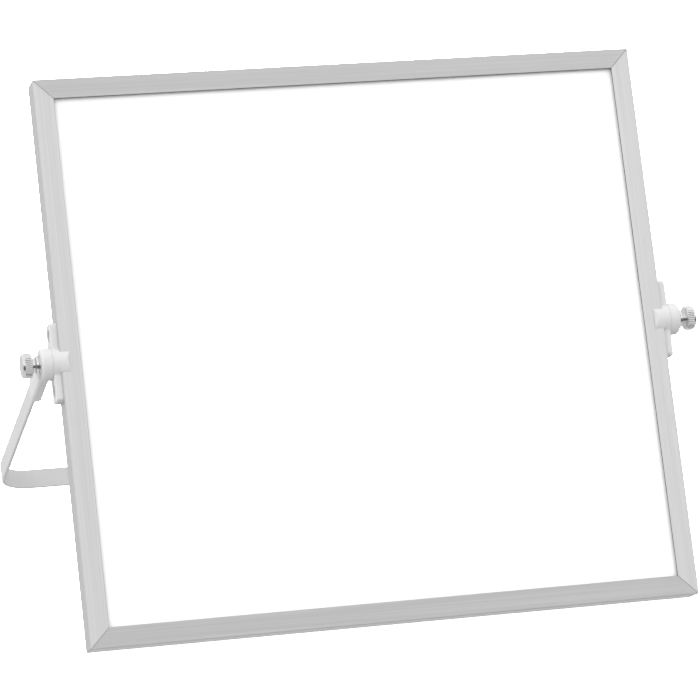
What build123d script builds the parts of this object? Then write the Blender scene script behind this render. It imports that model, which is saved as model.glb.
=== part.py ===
from build123d import *
import math
import os

# Desk whiteboard easel: a double-sided magnetic whiteboard in an aluminium
# frame, hung at mid height between the arms of a U-shaped flat-steel stand.
# Millimetres, +Z up, front towards -Y, +X to the viewer's right.
# The origin is on the desk, under the middle of the whole object.

# ---------------------------------------------------------------- board
board_w = 350.0            # outside width of the frame
board_h = 320.0            # outside height of the frame
board_t = 15.0             # thickness of the frame
lean = 32.0                # degrees the board leans back from upright
rail_face = 11.5           # width of a rail seen from the front
rail_wall = 1.2            # wall of the extrusion
chamber_d = 3.8            # depth of the hollow that takes the corner keys
shelf_wall = 1.0           # wall between that hollow and the panel groove
lip_depth = 2.4            # height of a lip above the writing sheet
lip_relief = 2.0           # how far the lip's edge overhangs the sheet
lip_t = 0.7                # thickness of that edge
rib_w = 1.2                # rib under the lip that holds the panel
outer_edge_r = 0.6         # rounding along the frame's outer edges
lip_edge_r = 0.35          # rounding along the lips
corner_r = 1.2             # rounding of the frame's four corners
mitre_gap = 0.04           # half of the hairline at each mitre
sheet_t = 0.4              # steel writing sheet
panel_play = 0.3           # room round the panel in its groove
key_leg = 32.0             # leg of a corner key
key_play = 0.05

# -------------------------------------------------------------- bracket
hub_d = 18.5               # barrel of the bracket, and hub of the arm
ear_t = 4.2                # thickness of the bracket plate
ear_len = 44.4
ear_w = 12.4
ear_r = 2.2
ear_edge_r = 0.9
ear_blend = 3.0            # blend from the ears into the barrel
tab_reach = 5.3            # how far the bracket's tabs reach over the rail
tab_top = 5.1              # upper edge of a tab, above the pivot
tab_low = -6.0             # its lower edge
tab_edge_t = 0.2           # thickness of a tab along that edge
tab_slope = 2.8            # length of the rounding at a tab's inner end
tab_end_t = 0.35           # thickness left at that end
ear_screw_pitch = 31.0
screw_head_d = 6.4
screw_head_h = 1.75
screw_sink_d = 7.6
screw_sink_depth = 3.0
screw_sink_bevel = 0.4
screw_d = 2.9
screw_hole_d = 3.0
screw_len = 5.6

# ------------------------------------------------------------------ hub
washer_gap = 0.1           # gap between the bracket plate and the arm hub
hub_in = ear_t + washer_gap
hub_out = 10.6             # outer face of the arm hub, from the frame's side
hub_round = 2.0            # rounding of the hub and tongue towards outside
tongue_in = 5.2            # inner face of the hub's tongue
tongue_w = 13.4
tongue_len = 42.5
tongue_blend = 5.0         # blend from the tongue into the hub
tongue_end_r = 2.6         # rounding of the tongue's end on its inner side
friction_d = 16.0          # friction washer between bracket and hub
friction_t = 0.8
nut_side = 8.0
nut_t = 2.7

# ---------------------------------------------------------------- stand
strap_w = 11.5
strap_t = 2.0
strap_out = 9.8            # outer face of an arm, from the frame's side
arm_len = 205.0            # pivot to the outer face of the cross bar
bend_r = 20.0              # outside radius of the two bends
strap_edge_r = 0.45
strap_play = 0.05

# ---------------------------------------------------------- thumb screw
shank_d = 4.8              # M5, threads left plain
bore_d = 5.0
shank_tip = -2.0           # end of the shank, from the frame's side
flat_washer_d = 11.4
flat_washer_t = 0.8
collar_d = 10.6
collar_t = 1.8
neck_d = 8.0
neck_t = 1.8
head_d = 14.3
head_out = 21.0
head_round_in = 1.2        # rounding of the head's inner rim
head_round_out = 1.5       # and of its outer rim
knurl_count = 38
knurl_depth = 0.32

# ------------------------------------------------------ placing in space
# Board frame: X right, V up the board, N out of its front face, with the
# pivot axis through its middle. Arm frame: X right, A down the arm, B
# across the arm towards the back and the top.
lam = math.radians(lean)
V = Vector(0, math.sin(lam), math.cos(lam))
N = Vector(0, -math.cos(lam), math.sin(lam))
XD = Vector(1, 0, 0)

# the lower back edge of the board rests on the desk
pivot_z = ((board_h / 2 - outer_edge_r) * math.cos(lam)
           + (board_t / 2 - outer_edge_r) * math.sin(lam) + outer_edge_r)
# and so does the front edge of the cross bar's underside
reach = arm_len - strap_edge_r
half = strap_w / 2 - strap_edge_r
alpha = (math.acos((pivot_z - strap_edge_r) / math.hypot(reach, half))
         + math.atan2(half, reach))
A = Vector(0, math.sin(alpha), -math.cos(alpha))
B = Vector(0, math.cos(alpha), math.sin(alpha))

# front and back of the whole object about the pivot, to centre it on Y
front_y = (-(board_h / 2) * math.sin(lam) - (board_t / 2) * math.cos(lam)
           + outer_edge_r * (math.sin(lam) + math.cos(lam) - 1))
back_y = reach * math.sin(alpha) + half * math.cos(alpha) + strap_edge_r
pivot_y = -(front_y + back_y) / 2
pivot = Vector(0, pivot_y, pivot_z)
pivot_axis = Axis(pivot, XD)

board_plane = Plane(origin=pivot, x_dir=XD, z_dir=N)        # its y is V
stand_plane = Plane(origin=pivot, x_dir=XD, z_dir=B * -1)   # its y is up the arm
mid_plane = Plane(origin=pivot, x_dir=XD, z_dir=V)          # halves the board


def side_plane(u):
    """Plane square to X, u outside the frame's right side; y is up the board."""
    return Plane(origin=pivot + XD * (board_w / 2 + u), x_dir=N * -1, z_dir=XD)


def arm_plane(u):
    """Plane square to X, u outside the frame's right side; y is up the arm."""
    return Plane(origin=pivot + XD * (board_w / 2 + u), x_dir=B, z_dir=XD)


# plane holding the pivot axis; its x runs out from the frame's right side
axis_plane = Plane(origin=pivot + XD * (board_w / 2), x_dir=XD, z_dir=N)

os.makedirs("parts", exist_ok=True)

# ---------------------------------------------------------------- rails
ht = board_t / 2
groove = rail_wall + chamber_d + shelf_wall      # floor of the panel groove
rib_out = rail_face - lip_relief
rib_in = rib_out - rib_w


def make_rail(out, along, length):
    """One mitred rail: a closed hollow by its outer wall for the corner keys,
    and a groove facing inwards for the panel's edge, held between two ribs."""
    inward = out * -1
    size = board_h / 2 if abs(out.X) < 0.5 else board_w / 2
    origin = pivot + out * size
    with BuildPart() as rail:
        with BuildSketch(Plane(origin=origin, x_dir=inward, z_dir=along)) as section:
            with BuildLine():
                Polyline((0, -ht), (rail_face, -ht), (rail_face, -ht + lip_t),
                         (rib_out, -ht + lip_t), (rib_out, -ht + lip_depth),
                         (rib_in, -ht + lip_depth), (rib_in, -ht + rail_wall),
                         (groove, -ht + rail_wall), (groove, ht - rail_wall),
                         (rib_in, ht - rail_wall), (rib_in, ht - lip_depth),
                         (rib_out, ht - lip_depth), (rib_out, ht - lip_t),
                         (rail_face, ht - lip_t), (rail_face, ht), (0, ht),
                         close=True)
            make_face()
            fillet(section.vertices().group_by(Axis.X)[0], outer_edge_r)
            fillet([v for v in section.vertices().group_by(Axis.X)[-1]
                    if abs(abs(v.Y) - ht) < 0.01], lip_edge_r)
            with Locations((rail_wall + chamber_d / 2, 0)):
                Rectangle(chamber_d, board_t - 2 * rail_wall, mode=Mode.SUBTRACT)
        extrude(amount=length / 2, both=True)
        for end in (1, -1):
            mitre = Plane(origin=origin + along * (end * length / 2), x_dir=N,
                          z_dir=(along * end + inward).normalized())
            split(bisect_by=mitre.offset(-mitre_gap), keep=Keep.BOTTOM)
        with BuildSketch(board_plane):
            RectangleRounded(board_w, board_h, corner_r)
        extrude(amount=board_t, both=True, mode=Mode.INTERSECT)
    return rail


top_rail = make_rail(V, XD * -1, board_w)
bottom_rail = make_rail(V * -1, XD, board_w)

with BuildPart() as right_rail:
    add(make_rail(XD, V, board_h).part)
    # ways in for the two bracket screws and for the tip of the thumb screw
    with BuildSketch(side_plane(0.5)):
        with Locations((0, ear_screw_pitch / 2), (0, -ear_screw_pitch / 2)):
            Circle(screw_hole_d / 2)
        Circle(3.3)
    extrude(amount=-(0.5 + rail_wall + 0.4), mode=Mode.SUBTRACT)

with BuildPart() as left_rail:
    mirror(right_rail.part, about=Plane.YZ)

# ------------------------------------------------- keys inside the frame
with BuildPart() as corner_keys:
    kx = board_w / 2 - rail_wall - key_play
    ky = board_h / 2 - rail_wall - key_play
    kw = chamber_d - 2 * key_play
    with BuildSketch(board_plane):
        with BuildLine():
            Polyline((kx - key_leg, ky), (kx, ky), (kx, ky - key_leg),
                     (kx - kw, ky - key_leg), (kx - kw, ky - kw),
                     (kx - key_leg, ky - kw), close=True)
        make_face()
    extrude(amount=ht - rail_wall - key_play, both=True)
    chamfer(corner_keys.faces().sort_by(Axis(pivot, V))[0].edges(), 0.4)
    mirror(about=Plane.YZ)
    mirror(about=mid_plane)

# ---------------------------------------------------------------- panel
panel_w = board_w - 2 * (groove + panel_play)
panel_h = board_h - 2 * (groove + panel_play)
panel_half = ht - lip_depth

with BuildPart() as front_sheet:
    with BuildSketch(board_plane.offset(panel_half - sheet_t)):
        RectangleRounded(panel_w, panel_h, 1.0)
    extrude(amount=sheet_t)

with BuildPart() as back_sheet:
    with BuildSketch(board_plane.offset(-panel_half)):
        RectangleRounded(panel_w, panel_h, 1.0)
    extrude(amount=sheet_t)

with BuildPart() as panel_core:
    with BuildSketch(board_plane):
        Rectangle(panel_w, panel_h)
    extrude(amount=panel_half - sheet_t, both=True)

# ------------------------------------------------------------- brackets
hub_r = hub_d / 2

with BuildPart() as right_bracket:
    # plate with two ears against the side of the frame, blended into the barrel
    with BuildSketch(side_plane(0)) as plate:
        RectangleRounded(ear_w, ear_len, ear_r)
        Circle(hub_r - 0.04)
        corners = plate.vertices().filter_by(
            lambda v: abs(abs(v.X) - ear_w / 2) < 0.01 and abs(v.Y) < hub_r)
        fillet(corners, ear_blend)
    extrude(amount=ear_t)
    rim = right_bracket.faces().filter_by(GeomType.PLANE).sort_by(Axis.X)[-1]
    fillet(rim.edges(), ear_edge_r)
    # barrel round the pivot axis, its rim left sharp against the arm hub
    with BuildSketch(side_plane(0)):
        Circle(hub_r)
    extrude(amount=ear_t)
    # tabs over the rail's front and back faces: the barrel's own curve above
    # the pivot, and a slightly flatter one below it
    edge = hub_r - ht - tab_edge_t
    low_r = (tab_low ** 2 + edge ** 2) / (2 * edge)
    low_turn = math.asin(-tab_low / low_r) / 2
    top = math.sqrt(hub_r ** 2 - tab_top ** 2)
    top_turn = math.asin(tab_top / hub_r) / 2
    for face in (1, -1):
        with BuildSketch(side_plane(0.6)):
            with BuildLine():
                ThreePointArc((face * top, tab_top),
                              (face * hub_r * math.cos(top_turn), hub_r * math.sin(top_turn)),
                              (face * hub_r, 0))
                ThreePointArc((face * hub_r, 0),
                              (face * (hub_r - low_r * (1 - math.cos(low_turn))),
                               -low_r * math.sin(low_turn)),
                              (face * (hub_r - edge), tab_low))
                Polyline((face * (hub_r - edge), tab_low), (face * ht, tab_low),
                         (face * ht, tab_top), (face * top, tab_top))
            make_face()
        extrude(amount=-(tab_reach + 0.6))
    # rounding at the tabs' inner ends
    crest = hub_r + 0.05
    drop = crest - ht - tab_end_t
    sweep_r = (tab_slope ** 2 + drop ** 2) / (2 * drop)
    turn = math.asin(tab_slope / sweep_r) / 2
    top_u = tab_slope - tab_reach
    for face in (1, -1):
        with BuildSketch(Plane(origin=pivot + XD * (board_w / 2), x_dir=XD, z_dir=V)):
            with BuildLine():
                ThreePointArc((top_u, face * crest),
                              (top_u - sweep_r * math.sin(turn),
                               face * (crest - sweep_r * (1 - math.cos(turn)))),
                              (-tab_reach, face * (crest - drop)))
                Polyline((-tab_reach, face * (crest - drop)),
                         (-tab_reach - 1, face * (crest - drop)),
                         (-tab_reach - 1, face * (hub_r + 1)),
                         (top_u, face * (hub_r + 1)), (top_u, face * crest))
            make_face()
        extrude(amount=hub_d, both=True, mode=Mode.SUBTRACT)
    # screw bore, and a square pocket that holds the nut from behind
    with BuildSketch(side_plane(-tab_reach)):
        Circle((bore_d + 0.3) / 2)
    extrude(amount=tab_reach + ear_t + 1, mode=Mode.SUBTRACT)
    with BuildSketch(side_plane(-1)):
        Rectangle(nut_side + 0.1, nut_side + 0.1)
    extrude(amount=1 + nut_t + 0.1, mode=Mode.SUBTRACT)
    # sunk holes in the ears
    with Locations(side_plane(ear_t)):
        with Locations((0, ear_screw_pitch / 2), (0, -ear_screw_pitch / 2)):
            CounterBoreHole(radius=screw_hole_d / 2 + 0.1,
                            counter_bore_radius=screw_sink_d / 2,
                            counter_bore_depth=screw_sink_depth, depth=ear_t + 1)
    mouths = right_bracket.edges().filter_by(
        lambda e: e.geom_type == GeomType.CIRCLE
        and abs(e.center().X - board_w / 2 - ear_t) < 0.01
        and abs(e.radius - screw_sink_d / 2) < 0.01)
    chamfer(mouths, screw_sink_bevel)

with BuildPart() as left_bracket:
    mirror(right_bracket.part, about=Plane.YZ)

with BuildPart() as right_bracket_screws:
    seat = side_plane(ear_t - screw_sink_depth)
    ends = [(0, ear_screw_pitch / 2), (0, -ear_screw_pitch / 2)]
    with BuildSketch(seat):
        with Locations(*ends):
            Circle(screw_head_d / 2)
    extrude(amount=screw_head_h)
    tops = right_bracket_screws.faces().filter_by(GeomType.PLANE).group_by(Axis.X)[-1]
    fillet(tops.edges(), 1.0)
    with BuildSketch(seat):
        with Locations(*ends):
            Circle(screw_d / 2)
    extrude(amount=-screw_len)
    tips = right_bracket_screws.faces().filter_by(GeomType.PLANE).group_by(Axis.X)[0]
    chamfer(tips.edges(), 0.6)
    with BuildSketch(seat.offset(screw_head_h)):
        with Locations(*ends):
            Rectangle(3.4, 0.8)
            Rectangle(0.8, 3.4)
    extrude(amount=-1.0, mode=Mode.SUBTRACT)

with BuildPart() as left_bracket_screws:
    mirror(right_bracket_screws.part, about=Plane.YZ)

with BuildPart() as right_captive_nut:
    with BuildSketch(side_plane(0.05)):
        Rectangle(nut_side, nut_side)
        Circle(bore_d / 2, mode=Mode.SUBTRACT)
    extrude(amount=nut_t)

with BuildPart() as left_captive_nut:
    mirror(right_captive_nut.part, about=Plane.YZ)

# ---------------------------------------------------------------- stand
with BuildPart() as stand_strap:
    xo = board_w / 2 + strap_out
    xi = xo - strap_t
    end = strap_w / 2
    with BuildSketch(stand_plane) as u_shape:
        with BuildLine():
            Polyline((xo, end), (xo, -arm_len), (-xo, -arm_len), (-xo, end),
                     (-xi, end), (-xi, -arm_len + strap_t),
                     (xi, -arm_len + strap_t), (xi, end), close=True)
        make_face()
        low = u_shape.vertices().group_by(Axis.Y)
        fillet(low[0], bend_r)
        low = u_shape.vertices().filter_by(
            lambda v: abs(v.Y + arm_len - strap_t) < 0.01 and abs(abs(v.X) - xi) < 0.01)
        fillet(low, bend_r - strap_t)
    extrude(amount=strap_w / 2, both=True)
    # rounded arm ends, then the rolled edges of the flat bar
    upper = stand_strap.edges().filter_by(Axis.X).filter_by(
        lambda e: (e.center() - pivot).dot(A) < -end + 0.01)
    fillet(upper, end - 0.3)
    flats = stand_strap.faces().filter_by(
        lambda f: f.geom_type == GeomType.PLANE and abs(abs(f.normal_at().dot(B)) - 1) < 1e-6)
    fillet(flats.edges(), strap_edge_r)
    with BuildSketch(Plane(origin=pivot, x_dir=V, z_dir=XD)):
        Circle(2.75)
    extrude(amount=xo + 5, both=True, mode=Mode.SUBTRACT)

with BuildPart() as right_arm_socket:
    # hub and tongue in one outline, rounded towards the outside
    with BuildSketch(arm_plane(tongue_in)) as outline:
        with Locations((0, -tongue_len / 2)):
            Rectangle(tongue_w, tongue_len)
        Circle(hub_r)
        corners = outline.vertices().filter_by(
            lambda v: abs(abs(v.X) - tongue_w / 2) < 0.01 and -hub_r < v.Y < -1)
        fillet(corners, tongue_blend)
    extrude(amount=hub_out - tongue_in)
    rim = right_arm_socket.faces().filter_by(GeomType.PLANE).sort_by(Axis.X)[-1]
    fillet(rim.edges().filter_by(lambda e: (e.center() - pivot).dot(A) < tongue_len - 1),
           hub_round)
    tip = right_arm_socket.faces().sort_by(Axis(pivot, A))[-1]
    fillet(tip.edges().sort_by(Axis.X)[0], tongue_end_r)
    # inner end of the hub
    with BuildSketch(arm_plane(hub_in)):
        Circle(hub_r)
    extrude(amount=tongue_in - hub_in)
    # slot that holds the end of the steel arm
    with BuildSketch(arm_plane(strap_out - strap_t - strap_play)):
        slot_w = strap_w + 2 * strap_play
        with Locations((0, slot_w / 2)):
            Rectangle(slot_w, slot_w + tongue_len + 1, align=(Align.CENTER, Align.MAX))
    extrude(amount=strap_t + 2 * strap_play, mode=Mode.SUBTRACT)
    # pocket for the friction washer, and the screw's bore
    with BuildSketch(arm_plane(hub_in)):
        Circle(friction_d / 2 + 0.2)
    extrude(amount=friction_t - washer_gap, mode=Mode.SUBTRACT)
    with BuildSketch(arm_plane(0)):
        Circle(bore_d / 2)
    extrude(amount=hub_out + 5, mode=Mode.SUBTRACT)

with BuildPart() as left_arm_socket:
    mirror(right_arm_socket.part, about=Plane.YZ)

with BuildPart() as right_friction_washer:
    with BuildSketch(arm_plane(ear_t)):
        Circle(friction_d / 2)
        Circle(bore_d / 2 + 0.15, mode=Mode.SUBTRACT)
    extrude(amount=friction_t)

with BuildPart() as left_friction_washer:
    mirror(right_friction_washer.part, about=Plane.YZ)

# --------------------------------------------------------- thumb screws
with BuildPart() as right_flat_washer:
    with BuildSketch(arm_plane(hub_out)):
        Circle(flat_washer_d / 2)
        Circle(bore_d / 2 + 0.15, mode=Mode.SUBTRACT)
    extrude(amount=flat_washer_t)
    chamfer(right_flat_washer.faces().sort_by(Axis.X)[-1].edges(), 0.15)

with BuildPart() as left_flat_washer:
    mirror(right_flat_washer.part, about=Plane.YZ)

collar_in = hub_out + flat_washer_t
neck_in = collar_in + collar_t
head_in = neck_in + neck_t

with BuildPart() as right_thumb_screw:
    # straight-knurled head
    with BuildSketch(side_plane(head_in)):
        with BuildLine():
            ring = []
            for i in range(knurl_count):
                for step, r in ((0.0, head_d / 2 - knurl_depth), (0.32, head_d / 2),
                                (0.68, head_d / 2)):
                    t = 2 * math.pi * (i + step) / knurl_count
                    ring.append((r * math.cos(t), r * math.sin(t)))
            Polyline(*ring, close=True)
        make_face()
    extrude(amount=head_out - head_in)
    # roundings on both rims of the head, and a shallow dish in its face
    diag = math.sqrt(0.5)
    crown = head_d / 2 + 0.02
    with BuildSketch(axis_plane):
        with BuildLine():
            Polyline((head_out, crown - head_round_out), (head_out, crown - head_round_out - 0.5),
                     (head_out - 0.25, crown - head_round_out - 0.9), (head_out - 0.25, 0),
                     (head_in, 0), (head_in, crown - head_round_in))
            ThreePointArc((head_in, crown - head_round_in),
                          (head_in + head_round_in * (1 - diag),
                           crown - head_round_in * (1 - diag)),
                          (head_in + head_round_in, crown))
            Line((head_in + head_round_in, crown), (head_out - head_round_out, crown))
            ThreePointArc((head_out - head_round_out, crown),
                          (head_out - head_round_out * (1 - diag),
                           crown - head_round_out * (1 - diag)),
                          (head_out, crown - head_round_out))
        make_face()
    revolve(axis=pivot_axis, mode=Mode.INTERSECT)
    # shank, collar and neck
    with BuildSketch(axis_plane) as stem:
        with BuildLine():
            Polyline((shank_tip, 0), (shank_tip, shank_d / 2 - 0.5),
                     (shank_tip + 0.5, shank_d / 2), (collar_in, shank_d / 2),
                     (collar_in, collar_d / 2), (neck_in, collar_d / 2),
                     (neck_in, neck_d / 2), (head_in + 0.5, neck_d / 2),
                     (head_in + 0.5, 0), close=True)
        make_face()
        brim = stem.vertices().group_by(Axis.Y)[-1].sort_by(Axis.X)
        fillet(brim[0], 0.3)
        brim = stem.vertices().group_by(Axis.Y)[-1].sort_by(Axis.X)
        fillet(brim[-1], 0.8)
        root = stem.vertices().filter_by(
            lambda v: abs(v.X - neck_in) < 0.01 and abs(v.Y - neck_d / 2) < 0.01)
        fillet(root, 0.4)
    revolve(axis=pivot_axis)

with BuildPart() as left_thumb_screw:
    mirror(right_thumb_screw.part, about=Plane.YZ)

# --------------------------------------------------------------- export
top_rail.part.label = "top_rail"
bottom_rail.part.label = "bottom_rail"
left_rail.part.label = "left_rail"
right_rail.part.label = "right_rail"
corner_keys.part.label = "corner_keys"
front_sheet.part.label = "front_sheet"
back_sheet.part.label = "back_sheet"
panel_core.part.label = "panel_core"
left_bracket.part.label = "left_bracket"
right_bracket.part.label = "right_bracket"
left_bracket_screws.part.label = "left_bracket_screws"
right_bracket_screws.part.label = "right_bracket_screws"
left_captive_nut.part.label = "left_captive_nut"
right_captive_nut.part.label = "right_captive_nut"
stand_strap.part.label = "stand_strap"
left_arm_socket.part.label = "left_arm_socket"
right_arm_socket.part.label = "right_arm_socket"
left_friction_washer.part.label = "left_friction_washer"
right_friction_washer.part.label = "right_friction_washer"
left_flat_washer.part.label = "left_flat_washer"
right_flat_washer.part.label = "right_flat_washer"
left_thumb_screw.part.label = "left_thumb_screw"
right_thumb_screw.part.label = "right_thumb_screw"

export_step(top_rail.part, "parts/top_rail.step")
export_step(bottom_rail.part, "parts/bottom_rail.step")
export_step(left_rail.part, "parts/left_rail.step")
export_step(right_rail.part, "parts/right_rail.step")
export_step(corner_keys.part, "parts/corner_keys.step")
export_step(front_sheet.part, "parts/front_sheet.step")
export_step(back_sheet.part, "parts/back_sheet.step")
export_step(panel_core.part, "parts/panel_core.step")
export_step(left_bracket.part, "parts/left_bracket.step")
export_step(right_bracket.part, "parts/right_bracket.step")
export_step(left_bracket_screws.part, "parts/left_bracket_screws.step")
export_step(right_bracket_screws.part, "parts/right_bracket_screws.step")
export_step(left_captive_nut.part, "parts/left_captive_nut.step")
export_step(right_captive_nut.part, "parts/right_captive_nut.step")
export_step(stand_strap.part, "parts/stand_strap.step")
export_step(left_arm_socket.part, "parts/left_arm_socket.step")
export_step(right_arm_socket.part, "parts/right_arm_socket.step")
export_step(left_friction_washer.part, "parts/left_friction_washer.step")
export_step(right_friction_washer.part, "parts/right_friction_washer.step")
export_step(left_flat_washer.part, "parts/left_flat_washer.step")
export_step(right_flat_washer.part, "parts/right_flat_washer.step")
export_step(left_thumb_screw.part, "parts/left_thumb_screw.step")
export_step(right_thumb_screw.part, "parts/right_thumb_screw.step")
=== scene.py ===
import math

import bpy
import bmesh
from mathutils import Matrix, Quaternion, Vector


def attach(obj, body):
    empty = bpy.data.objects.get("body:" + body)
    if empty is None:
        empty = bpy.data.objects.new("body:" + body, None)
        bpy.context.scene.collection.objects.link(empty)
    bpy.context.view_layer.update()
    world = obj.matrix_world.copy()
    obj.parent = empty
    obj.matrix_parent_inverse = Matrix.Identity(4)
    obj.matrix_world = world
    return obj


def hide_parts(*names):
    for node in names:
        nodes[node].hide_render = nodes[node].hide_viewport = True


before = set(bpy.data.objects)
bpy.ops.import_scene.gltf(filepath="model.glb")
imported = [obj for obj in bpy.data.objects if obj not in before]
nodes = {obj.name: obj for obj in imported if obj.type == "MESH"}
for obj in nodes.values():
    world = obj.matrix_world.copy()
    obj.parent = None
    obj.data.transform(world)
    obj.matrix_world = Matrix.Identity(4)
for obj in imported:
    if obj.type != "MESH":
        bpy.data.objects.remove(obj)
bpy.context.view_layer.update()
MM = 0.001

# ------------------------------------------------------------------ frame
LEAN = math.radians(32.0)
PIVOT = Vector((0.0, -0.033349, 0.139435))
UP = Vector((0.0, math.sin(LEAN), math.cos(LEAN)))          # up the board
OUT = Vector((0.0, -math.cos(LEAN), math.sin(LEAN)))        # out of its front
ARM = math.radians(48.6999)
DOWN_ARM = Vector((0.0, math.sin(ARM), -math.cos(ARM)))
ACROSS_ARM = Vector((0.0, math.cos(ARM), math.sin(ARM)))
SIDE = Vector((1.0, 0.0, 0.0))


# -------------------------------------------------------------- materials
class Tree:
    """A material's node tree, written as short calls."""

    def __init__(self, name):
        self.material = bpy.data.materials.new(name)
        self.material.use_nodes = True
        self.tree = self.material.node_tree
        self.tree.nodes.clear()
        self.out = self.add("ShaderNodeOutputMaterial")
        self.coord = self.add("ShaderNodeTexCoord").outputs["Object"]

    def add(self, kind, **props):
        node = self.tree.nodes.new(kind)
        for key, value in props.items():
            setattr(node, key, value)
        return node

    def link(self, a, b):
        self.tree.links.new(a, b)

    def put(self, node, socket, value):
        """A link if value is a socket, and otherwise a plain number or colour."""
        if isinstance(value, bpy.types.NodeSocket):
            self.link(value, node.inputs[socket])
        else:
            node.inputs[socket].default_value = value

    def math(self, op, a, b=0.0, c=None, clamp=False):
        node = self.add("ShaderNodeMath", operation=op, use_clamp=clamp)
        self.put(node, 0, a)
        self.put(node, 1, b)
        if c is not None:
            self.put(node, 2, c)
        return node.outputs[0]

    def dot(self, vector, along):
        node = self.add("ShaderNodeVectorMath", operation="DOT_PRODUCT")
        self.put(node, 0, vector)
        node.inputs[1].default_value = tuple(along)
        return node.outputs["Value"]

    def minus(self, vector, by):
        node = self.add("ShaderNodeVectorMath", operation="SUBTRACT")
        self.put(node, 0, vector)
        node.inputs[1].default_value = tuple(by)
        return node.outputs[0]

    def combine(self, x, y, z):
        node = self.add("ShaderNodeCombineXYZ")
        self.put(node, 0, x)
        self.put(node, 1, y)
        self.put(node, 2, z)
        return node.outputs[0]

    def stretched(self, axes, scales, origin=(0, 0, 0)):
        """Object coordinates along three axes, each with its own scale."""
        moved = self.minus(self.coord, origin)
        return self.combine(*[self.math("MULTIPLY", self.dot(moved, a), s)
                              for a, s in zip(axes, scales)])

    def noise(self, vector, scale=1.0, detail=2.0, rough=0.5, distort=0.0, w=None):
        node = self.add("ShaderNodeTexNoise", noise_dimensions="3D")
        self.put(node, "Vector", vector)
        node.inputs["Scale"].default_value = scale
        node.inputs["Detail"].default_value = detail
        node.inputs["Roughness"].default_value = rough
        node.inputs["Distortion"].default_value = distort
        return node.outputs["Fac"]

    def span(self, value, lo, hi, a, b, smooth=False):
        node = self.add("ShaderNodeMapRange", clamp=True)
        if smooth:
            node.interpolation_type = "SMOOTHSTEP"
        self.put(node, "Value", value)
        node.inputs["From Min"].default_value = lo
        node.inputs["From Max"].default_value = hi
        node.inputs["To Min"].default_value = a
        node.inputs["To Max"].default_value = b
        return node.outputs[0]

    def mix(self, factor, a, b, blend="MIX"):
        node = self.add("ShaderNodeMix", data_type="RGBA", blend_type=blend)
        self.put(node, 0, factor)
        self.put(node, 6, a)
        self.put(node, 7, b)
        return node.outputs[2]

    def bump(self, height, strength, distance, normal=None):
        node = self.add("ShaderNodeBump")
        node.inputs["Strength"].default_value = strength
        node.inputs["Distance"].default_value = distance
        self.put(node, "Height", height)
        if normal is not None:
            self.put(node, "Normal", normal)
        return node.outputs[0]

    def surface(self, **values):
        node = self.add("ShaderNodeBsdfPrincipled")
        for key, value in values.items():
            self.put(node, key.replace("_", " "), value)
        self.link(node.outputs[0], self.out.inputs["Surface"])
        return node


def grey(v, warm=0.0):
    return (v * (1 + warm), v, v * (1 - warm), 1.0)


def aluminium(name, along, across, value, phase, reach):
    """Satin anodised extrusion, brushed along its length."""
    t = Tree(name)
    axes = (along, across, OUT)
    fine = t.noise(t.stretched(axes, (9, 5200, 5200), origin=(phase, 0, 0)), detail=3, rough=0.6)
    lines = t.noise(t.stretched(axes, (5, 1150, 1150), origin=(0, phase, 0)), detail=2, rough=0.65)
    cloud = t.noise(t.coord, scale=11, detail=3, rough=0.55)
    mark = t.noise(t.stretched(axes, (40, 420, 420)), detail=4, rough=0.7, distort=0.3)
    broad = t.noise(t.stretched(axes, (2.5, 330, 330), origin=(0, 0, phase)), detail=2, rough=0.6)
    tone = t.math("ADD", t.math("MULTIPLY", t.math("SUBTRACT", lines, 0.5), 1.5),
                  t.math("MULTIPLY", t.math("SUBTRACT", broad, 0.5), 1.1))
    tone = t.math("ADD", tone, t.math("MULTIPLY", t.math("SUBTRACT", cloud, 0.5), 0.35))
    colour = t.mix(t.math("ADD", tone, 0.5, clamp=True),
                   grey(value * 0.91, 0.002), grey(value * 1.06, -0.002))
    # fine dark joint where the mitred ends meet
    here = t.minus(t.coord, PIVOT)
    joint = t.math("SUBTRACT", t.math("ABSOLUTE", t.dot(here, SIDE)), t.math("ABSOLUTE", t.dot(here, UP)))
    joint = t.math("ABSOLUTE", t.math("SUBTRACT", joint, 0.015))
    colour = t.mix(t.span(joint, 0.00025, 0.00055, 0.26, 0.0), colour, grey(0.06))
    # painted shade: the gap under the lips and the lips' inner edges get a dark base colour where they lie in
    # shade
    deep = t.span(t.math("ABSOLUTE", t.dot(here, OUT)), 0.00736, 0.00746, 1.0, 0.0)
    inner = t.span(t.math("ABSOLUTE", t.dot(here, across)), reach - 0.0045, reach - 0.0040, 1.0, 0.0)
    lip_gap_painted_shade = t.math("MULTIPLY", deep, inner)
    colour = t.mix(lip_gap_painted_shade, colour, grey(0.16))
    rough = t.math("ADD", t.span(fine, 0.25, 0.75, 0.30, 0.42),
                   t.span(mark, 0.52, 0.72, 0.0, 0.05, smooth=True))
    rough = t.math("ADD", rough, t.math("MULTIPLY", lip_gap_painted_shade, 0.3))
    height = t.math("ADD", t.math("MULTIPLY", fine, 0.6), t.math("MULTIPLY", lines, 0.4))
    tangent = t.add("ShaderNodeVectorTransform", vector_type="VECTOR",
                    convert_from="OBJECT", convert_to="WORLD")
    tangent.inputs[0].default_value = tuple(across)
    t.surface(Base_Color=colour, Metallic=1.0, Roughness=rough, Anisotropic=0.55,
              Tangent=tangent.outputs[0], Normal=t.bump(height, 0.22, 0.00002))
    return t.material


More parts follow.
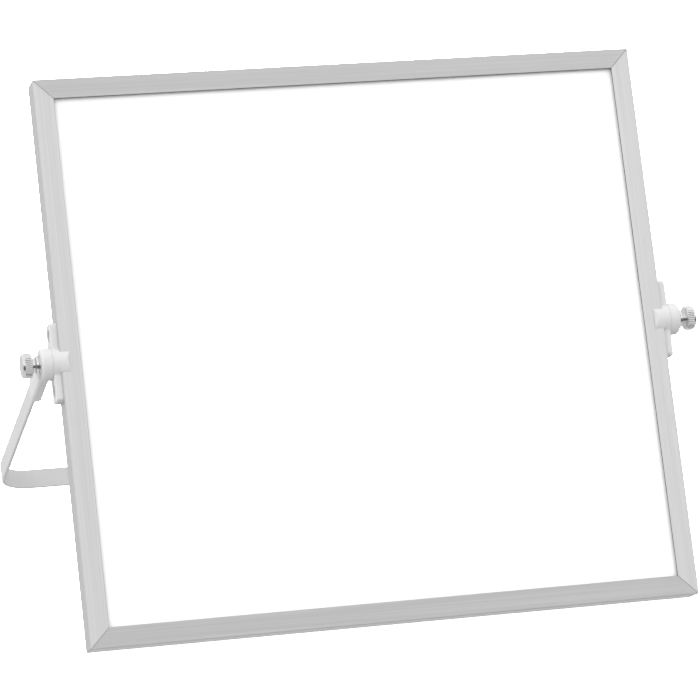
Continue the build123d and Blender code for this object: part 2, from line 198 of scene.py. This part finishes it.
def lacquered_sheet():
    """Gloss white dry-wipe lacquer on steel, with the faint traces of wiping."""
    t = Tree("writing_lacquer")
    axes = (SIDE, UP, OUT)
    swirl = t.noise(t.stretched(axes, (16, 34, 10)), detail=4, rough=0.62, distort=1.4)
    haze = t.noise(t.coord, scale=7, detail=3, rough=0.5)
    peel = t.noise(t.coord, scale=420, detail=2, rough=0.5)
    sheet = t.noise(t.coord, scale=14, detail=1, rough=0.4)
    rough = t.math("ADD", t.span(swirl, 0.42, 0.66, 0.13, 0.22, smooth=True),
                   t.span(haze, 0.4, 0.7, 0.0, 0.04))
    colour = t.mix(t.span(swirl, 0.35, 0.7, 0.0, 1.0), grey(0.965), grey(0.975))
    height = t.math("ADD", t.math("MULTIPLY", peel, 0.05), sheet)
    t.surface(Base_Color=colour, Roughness=rough, Specular_IOR_Level=0.5,
              Coat_Weight=0.5, Coat_Roughness=0.04, Coat_IOR=1.5,
              Normal=t.bump(height, 0.12, 0.0004))
    return t.material


def white_plastic(name="white_plastic_moulded", value=0.585):
    """Satin moulded plastic with a fine spark-eroded grain."""
    t = Tree(name)
    grain = t.noise(t.coord, scale=2300, detail=3, rough=0.6)
    flow = t.noise(t.coord, scale=60, detail=3, rough=0.5, distort=0.6)
    colour = t.mix(t.span(flow, 0.3, 0.7, 0.0, 1.0), grey(value * 0.985, 0.003), grey(value * 1.01))
    rough = t.math("ADD", t.span(grain, 0.3, 0.7, 0.36, 0.46), t.span(flow, 0.4, 0.7, 0.0, 0.05))
    t.surface(Base_Color=colour, Roughness=rough, Specular_IOR_Level=0.45,
              Subsurface_Weight=0.12, Subsurface_Radius=(0.004, 0.0035, 0.003),
              Subsurface_Scale=0.5, Normal=t.bump(grain, 0.25, 0.00004))
    return t.material


def powder_coat():
    """Satin white powder coat on flat steel, with a soft orange peel."""
    t = Tree("white_powder_coat")
    peel = t.noise(t.coord, scale=900, detail=2, rough=0.5)
    spots = t.noise(t.coord, scale=3200, detail=2, rough=0.6)
    cloud = t.noise(t.coord, scale=26, detail=3, rough=0.5)
    colour = t.mix(t.span(cloud, 0.3, 0.7, 0.0, 1.0), grey(0.515), grey(0.53))
    rough = t.math("ADD", t.span(peel, 0.3, 0.7, 0.34, 0.44), t.span(spots, 0.55, 0.75, 0.0, 0.06))
    t.surface(Base_Color=colour, Roughness=rough, Specular_IOR_Level=0.5,
              Normal=t.bump(t.math("ADD", peel, t.math("MULTIPLY", spots, 0.15)), 0.3, 0.00006))
    return t.material


def chrome():
    """Polished chrome plate over turned steel."""
    t = Tree("chrome_plate")
    turn = t.minus(t.coord, PIVOT)
    y = t.dot(turn, (0, 1, 0))
    z = t.dot(turn, (0, 0, 1))
    r = t.math("SQRT", t.math("ADD", t.math("MULTIPLY", y, y), t.math("MULTIPLY", z, z)))
    rings = t.noise(t.combine(t.math("MULTIPLY", r, 9000.0), t.math("MULTIPLY", t.dot(turn, SIDE), 9000.0), 0.0),
                    detail=2, rough=0.6)
    haze = t.noise(t.coord, scale=240, detail=3, rough=0.6)
    rough = t.math("ADD", t.span(rings, 0.35, 0.7, 0.09, 0.15), t.span(haze, 0.5, 0.75, 0.0, 0.06, smooth=True))
    colour = t.mix(t.span(haze, 0.35, 0.7, 0.0, 1.0), (0.70, 0.705, 0.71, 1), (0.76, 0.76, 0.765, 1))
    t.surface(Base_Color=colour, Metallic=1.0, Roughness=rough,
              Normal=t.bump(rings, 0.08, 0.00001))
    return t.material


def zinc():
    """Bright zinc plate on small screws and nuts."""
    t = Tree("zinc_plate")
    haze = t.noise(t.coord, scale=900, detail=3, rough=0.65)
    tint = t.noise(t.coord, scale=260, detail=2, rough=0.5)
    colour = t.mix(t.span(tint, 0.35, 0.65, 0.0, 1.0), (0.60, 0.61, 0.63, 1), (0.68, 0.67, 0.645, 1))
    t.surface(Base_Color=colour, Metallic=1.0, Roughness=t.span(haze, 0.3, 0.7, 0.2, 0.36),
              Normal=t.bump(haze, 0.15, 0.00002))
    return t.material


def cast_key():
    t = Tree("key_cast_alloy")
    skin = t.noise(t.coord, scale=1500, detail=4, rough=0.7)
    cloud = t.noise(t.coord, scale=120, detail=3, rough=0.6)
    colour = t.mix(t.span(cloud, 0.3, 0.7, 0.0, 1.0), grey(0.42), grey(0.52))
    t.surface(Base_Color=colour, Metallic=1.0, Roughness=t.span(skin, 0.3, 0.7, 0.45, 0.65),
              Normal=t.bump(skin, 0.4, 0.00008))
    return t.material


def fibreboard():
    t = Tree("fibreboard")
    fibres = t.noise(t.stretched((SIDE, UP, OUT), (600, 2600, 1800)), detail=4, rough=0.7, distort=1.0)
    cloud = t.noise(t.coord, scale=60, detail=3, rough=0.6)
    colour = t.mix(t.span(fibres, 0.35, 0.65, 0.0, 1.0), (0.42, 0.30, 0.18, 1), (0.60, 0.46, 0.30, 1))
    colour = t.mix(t.span(cloud, 0.3, 0.7, 0.0, 0.3), colour, (0.50, 0.37, 0.23, 1))
    t.surface(Base_Color=colour, Roughness=t.span(fibres, 0.3, 0.7, 0.75, 0.92),
              Normal=t.bump(fibres, 0.5, 0.0001))
    return t.material


def nylon():
    t = Tree("natural_nylon")
    grain = t.noise(t.coord, scale=1800, detail=3, rough=0.6)
    colour = t.mix(t.span(grain, 0.3, 0.7, 0.0, 1.0), grey(0.68, 0.01), grey(0.74, 0.008))
    t.surface(Base_Color=colour, Roughness=t.span(grain, 0.3, 0.7, 0.42, 0.56),
              Subsurface_Weight=0.3, Subsurface_Radius=(0.004, 0.004, 0.0035), Subsurface_Scale=0.5,
              Normal=t.bump(grain, 0.2, 0.00004))
    return t.material


# painted light: the upright rails get a lighter base colour than the level rails, though all four are the same
# aluminium
across_rail = aluminium("satin_aluminium_level", SIDE, UP, 0.560, 0.0, 0.160)
upright_rail = aluminium("satin_aluminium_upright", UP, SIDE, 0.612, 0.7, 0.175)
lacquer = lacquered_sheet()
plastic = white_plastic()
coat = powder_coat()
plated = chrome()
zinced = zinc()
keys = cast_key()
board = fibreboard()
washer = nylon()

finish = {
    "top_rail": across_rail, "bottom_rail": across_rail,
    "left_rail": upright_rail, "right_rail": upright_rail,
    "corner_keys": keys, "front_sheet": lacquer, "back_sheet": lacquer,
    "panel_core": board, "left_bracket": plastic, "right_bracket": plastic,
    "left_bracket_screws": zinced, "right_bracket_screws": zinced,
    "left_captive_nut": zinced, "right_captive_nut": zinced,
    "stand_strap": coat, "left_arm_socket": plastic, "right_arm_socket": plastic,
    "left_friction_washer": washer, "right_friction_washer": washer,
    "left_flat_washer": plated, "right_flat_washer": plated,
    "left_thumb_screw": plated, "right_thumb_screw": plated,
}
for name, material in finish.items():
    o = nodes[name]
    if o.material_slots:
        for s in o.material_slots:
            s.material = material
    else:
        o.data.materials.append(material)

# ----------------------------------------------------------- thumb screws
HALF_WIDTH = 175.0                     # the frame's side, from the middle, in mm
HEAD_R = 7.15
KNURLS = 38
KNURL_DEPTH = 0.30
THREAD_PITCH = 0.8


def arc(cu, cr, radius, start, stop, steps=5):
    """Points (u, r) along an arc, its angles in degrees from the +u axis."""
    return [(cu + radius * math.cos(math.radians(start + (stop - start) * i / steps)),
             cr + radius * math.sin(math.radians(start + (stop - start) * i / steps)))
            for i in range(steps + 1)]


def band(bm, rows, count, place):
    """A tube of quads through rows of (u, r) or (u, r-of-angle)."""
    rings = []
    for u, r in rows:
        ring = []
        for j in range(count):
            phi = 2 * math.pi * j / count
            radius = r(phi) if callable(r) else r
            ring.append(bm.verts.new(place(u, radius, phi)))
        rings.append(ring)
    for a, b in zip(rings, rings[1:]):
        for j in range(count):
            k = (j + 1) % count
            bm.faces.new((a[j], a[k], b[k], b[j]))


def thumb_screw(side, sgn):
    """M5 screw with a rolled thread, a collar and a straight-knurled head."""
    out = SIDE * sgn
    e1 = Vector((0, 1, 0))
    e2 = out.cross(e1)

    def place(u, r, phi):
        return (PIVOT + out * ((HALF_WIDTH + u) * MM)
                + (e1 * math.cos(phi) + e2 * math.sin(phi)) * (r * MM))

    def thread(u):
        fade = min(1.0, max(0.0, (10.9 - u) / 0.7))            # runs out under the collar
        tip = min(2.4, 1.85 + max(0.0, u + 2.0))               # bevel at the end

        def radius(phi):
            phase = (u / THREAD_PITCH - phi / (2 * math.pi)) % 1.0
            ridge = 1.0 - abs(2.0 * phase - 1.0)
            ridge = min(1.0, max(0.0, (ridge - 0.10) / 0.78))
            return min(tip, 2.04 + 0.36 * (1.0 - fade * (1.0 - ridge)))
        return radius

    def knurled(r):
        def radius(phi):
            return min(r, HEAD_R - KNURL_DEPTH * (1.0 - abs(math.sin(KNURLS * phi / 2)) ** 0.85))
        return radius

    bm = bmesh.new()
    # shank, thread and the flat under the collar
    rows = [(-2.0, 0.0), (-2.0, 1.2)]
    steps = 134
    rows += [(-2.0 + 13.4 * i / steps, thread(-2.0 + 13.4 * i / steps)) for i in range(steps + 1)]
    band(bm, rows, 48, place)
    # collar, neck and head
    rows = [(11.4, 2.38), (11.4, 3.6)] + arc(11.7, 5.0, 0.3, 180, 90, 4)
    rows += arc(12.4, 4.5, 0.8, 90, 0, 7)
    rows += arc(13.6, 4.4, 0.4, 180, 270, 5)
    rows += [(14.4, 4.0)] + arc(14.75, 4.25, 0.25, 270, 360, 3)
    rows = rows[:-1] + [(15.0, 4.25), (15.0, 5.2)]
    rim = arc(16.2, HEAD_R - 1.2, 1.2, 180, 90, 9)
    rows += [(u, knurled(r)) for u, r in rim]
    rows += [(16.2 + 3.0 * i / 6, knurled(HEAD_R)) for i in range(1, 7)]
    rows += [(19.38, HEAD_R - KNURL_DEPTH - 0.02), (19.5, HEAD_R - KNURL_DEPTH - 0.04)]
    rows += arc(19.6, 5.41, 1.4, 90, 0, 11)
    rows += [(21.0, 4.95)]
    rows += [(20.95, 4.82), (20.80, 4.66), (20.75, 4.50), (20.75, 2.4), (20.75, 0.0)]
    band(bm, rows, 304, place)
    bmesh.ops.remove_doubles(bm, verts=bm.verts, dist=1e-7)
    bmesh.ops.recalc_face_normals(bm, faces=bm.faces)
    mesh = bpy.data.meshes.new(side + "_thumb_screw_turned")
    bm.to_mesh(mesh)
    bm.free()
    for face in mesh.polygons:
        face.use_smooth = True
    mesh.set_sharp_from_angle(angle=math.radians(38))
    obj = bpy.data.objects.new(side + "_thumb_screw_turned", mesh)
    bpy.context.scene.collection.objects.link(obj)
    mesh.materials.append(plated)
    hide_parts(side + "_thumb_screw")
    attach(obj, side + "_screw")
    return obj


thumb_screw("left", -1)
thumb_screw("right", 1)

# ------------------------------------------------------------------ stage
mesh = bpy.data.meshes.new("floor")
bm = bmesh.new()
bmesh.ops.create_grid(bm, x_segments=1, y_segments=1, size=14.0)
bm.to_mesh(mesh)
bm.free()
floor = bpy.data.objects.new("floor", mesh)
bpy.context.scene.collection.objects.link(floor)
t = Tree("pale_floor")
cloud = t.noise(t.coord, scale=1.3, detail=2)
seen = t.add("ShaderNodeBsdfDiffuse")                     # overexposed to the camera
t.put(seen, "Color", t.mix(cloud, grey(5.8), grey(6.0)))
bounced = t.add("ShaderNodeEmission")                     # even light it throws back up
t.put(bounced, "Color", t.mix(cloud, grey(0.98), grey(1.0)))
bounced.inputs["Strength"].default_value = 0.80
mirrored = t.add("ShaderNodeEmission")                    # dark far in front, for the metals
depth = t.dot(t.coord, (0, 1, 0))
t.put(mirrored, "Color", t.mix(t.span(depth, -0.55, -0.22, 0.0, 1.0, smooth=True), grey(0.12), grey(0.78)))
path = t.add("ShaderNodeLightPath")
below = t.add("ShaderNodeMixShader")
t.link(path.outputs["Is Glossy Ray"], below.inputs[0])
t.link(bounced.outputs[0], below.inputs[1])
t.link(mirrored.outputs[0], below.inputs[2])
pick = t.add("ShaderNodeMixShader")
t.link(path.outputs["Is Camera Ray"], pick.inputs[0])
t.link(below.outputs[0], pick.inputs[1])
t.link(seen.outputs[0], pick.inputs[2])
t.link(pick.outputs[0], t.out.inputs["Surface"])
mesh.materials.append(t.material)

# ------------------------------------------------------------------ world
world = bpy.data.worlds.new("studio")
bpy.context.scene.world = world
world.use_nodes = True
wt = world.node_tree
wt.nodes.clear()


def wadd(kind, **props):
    node = wt.nodes.new(kind)
    for key, value in props.items():
        setattr(node, key, value)
    return node


def wmath(op, a, b=0.0, clamp=False):
    node = wadd("ShaderNodeMath", operation=op, use_clamp=clamp)
    for i, value in enumerate((a, b)):
        if isinstance(value, bpy.types.NodeSocket):
            wt.links.new(value, node.inputs[i])
        else:
            node.inputs[i].default_value = value
    return node.outputs[0]


def wspan(value, lo, hi, a, b):
    node = wadd("ShaderNodeMapRange", clamp=True, interpolation_type="SMOOTHSTEP")
    wt.links.new(value, node.inputs["Value"])
    for key, v in (("From Min", lo), ("From Max", hi), ("To Min", a), ("To Max", b)):
        node.inputs[key].default_value = v
    return node.outputs[0]


direction = wadd("ShaderNodeTexCoord").outputs["Generated"]
parts = wadd("ShaderNodeSeparateXYZ")
wt.links.new(direction, parts.inputs[0])
dx, dy, dz = parts.outputs
level = wspan(dz, 0.0, 0.95, 0.48, 1.48)                  # brighter overhead
left = wspan(dx, -0.85, 0.0, 1.27, 0.0)                   # softbox on the left
right = wspan(dx, 0.0, 0.85, 0.0, 0.63)
front_dark = wmath("MULTIPLY", wspan(dy, -0.95, -0.35, 0.44, 0.0), wspan(dz, 0.12, 0.55, 1.0, 0.0))
light = wmath("SUBTRACT", wmath("ADD", wmath("ADD", level, left), right), front_dark)
# what the metals mirror: a dark room in front, low down, and softboxes above and beside
ahead = wspan(dy, -0.75, -0.25, 1.0, 0.0)
room = wmath("MULTIPLY", ahead, wspan(dz, 0.26, 0.52, 0.84, 0.0))
soft = wmath("ADD", wspan(dz, 0.0, 0.60, 0.92, 1.15), wspan(dz, 0.58, 0.85, 0.0, -0.12))
soft = wmath("ADD", soft, wspan(dx, 0.16, 0.46, 0.0, 0.13))
shiny = wmath("MULTIPLY", soft, wmath("SUBTRACT", 1.0, room))
path = wadd("ShaderNodeLightPath")
sort = wadd("ShaderNodeMix", data_type="FLOAT")
wt.links.new(path.outputs["Is Glossy Ray"], sort.inputs[0])
wt.links.new(light, sort.inputs[2])
wt.links.new(shiny, sort.inputs[3])
back_lit = wadd("ShaderNodeBackground")
back_lit.inputs[0].default_value = (1.0, 1.0, 1.0, 1.0)
wt.links.new(sort.outputs[0], back_lit.inputs[1])
back_seen = wadd("ShaderNodeBackground")
back_seen.inputs[0].default_value = (1.0, 1.0, 1.0, 1.0)
back_seen.inputs[1].default_value = 1.0
pick = wadd("ShaderNodeMixShader")
wt.links.new(path.outputs["Is Camera Ray"], pick.inputs[0])
wt.links.new(back_lit.outputs[0], pick.inputs[1])
wt.links.new(back_seen.outputs[0], pick.inputs[2])
wout = wadd("ShaderNodeOutputWorld")
wt.links.new(pick.outputs[0], wout.inputs[0])


# ----------------------------------------------------------------- camera
data = bpy.data.cameras.new("camera")
data.sensor_width = 36.0
data.lens = 186.9693
data.clip_start, data.clip_end = 0.05, 60.0
camera = bpy.data.objects.new("camera", data)
camera.location = (-0.51084146, -1.87437234, 0.87517828)
camera.rotation_mode = "QUATERNION"
camera.rotation_quaternion = Quaternion((0.8191349813, 0.5589615242, -0.0820531773, -0.0992329229))
bpy.context.scene.collection.objects.link(camera)
bpy.context.scene.camera = camera
bpy.context.scene.view_settings.view_transform = "Standard"
bpy.context.scene.view_settings.look = "None"
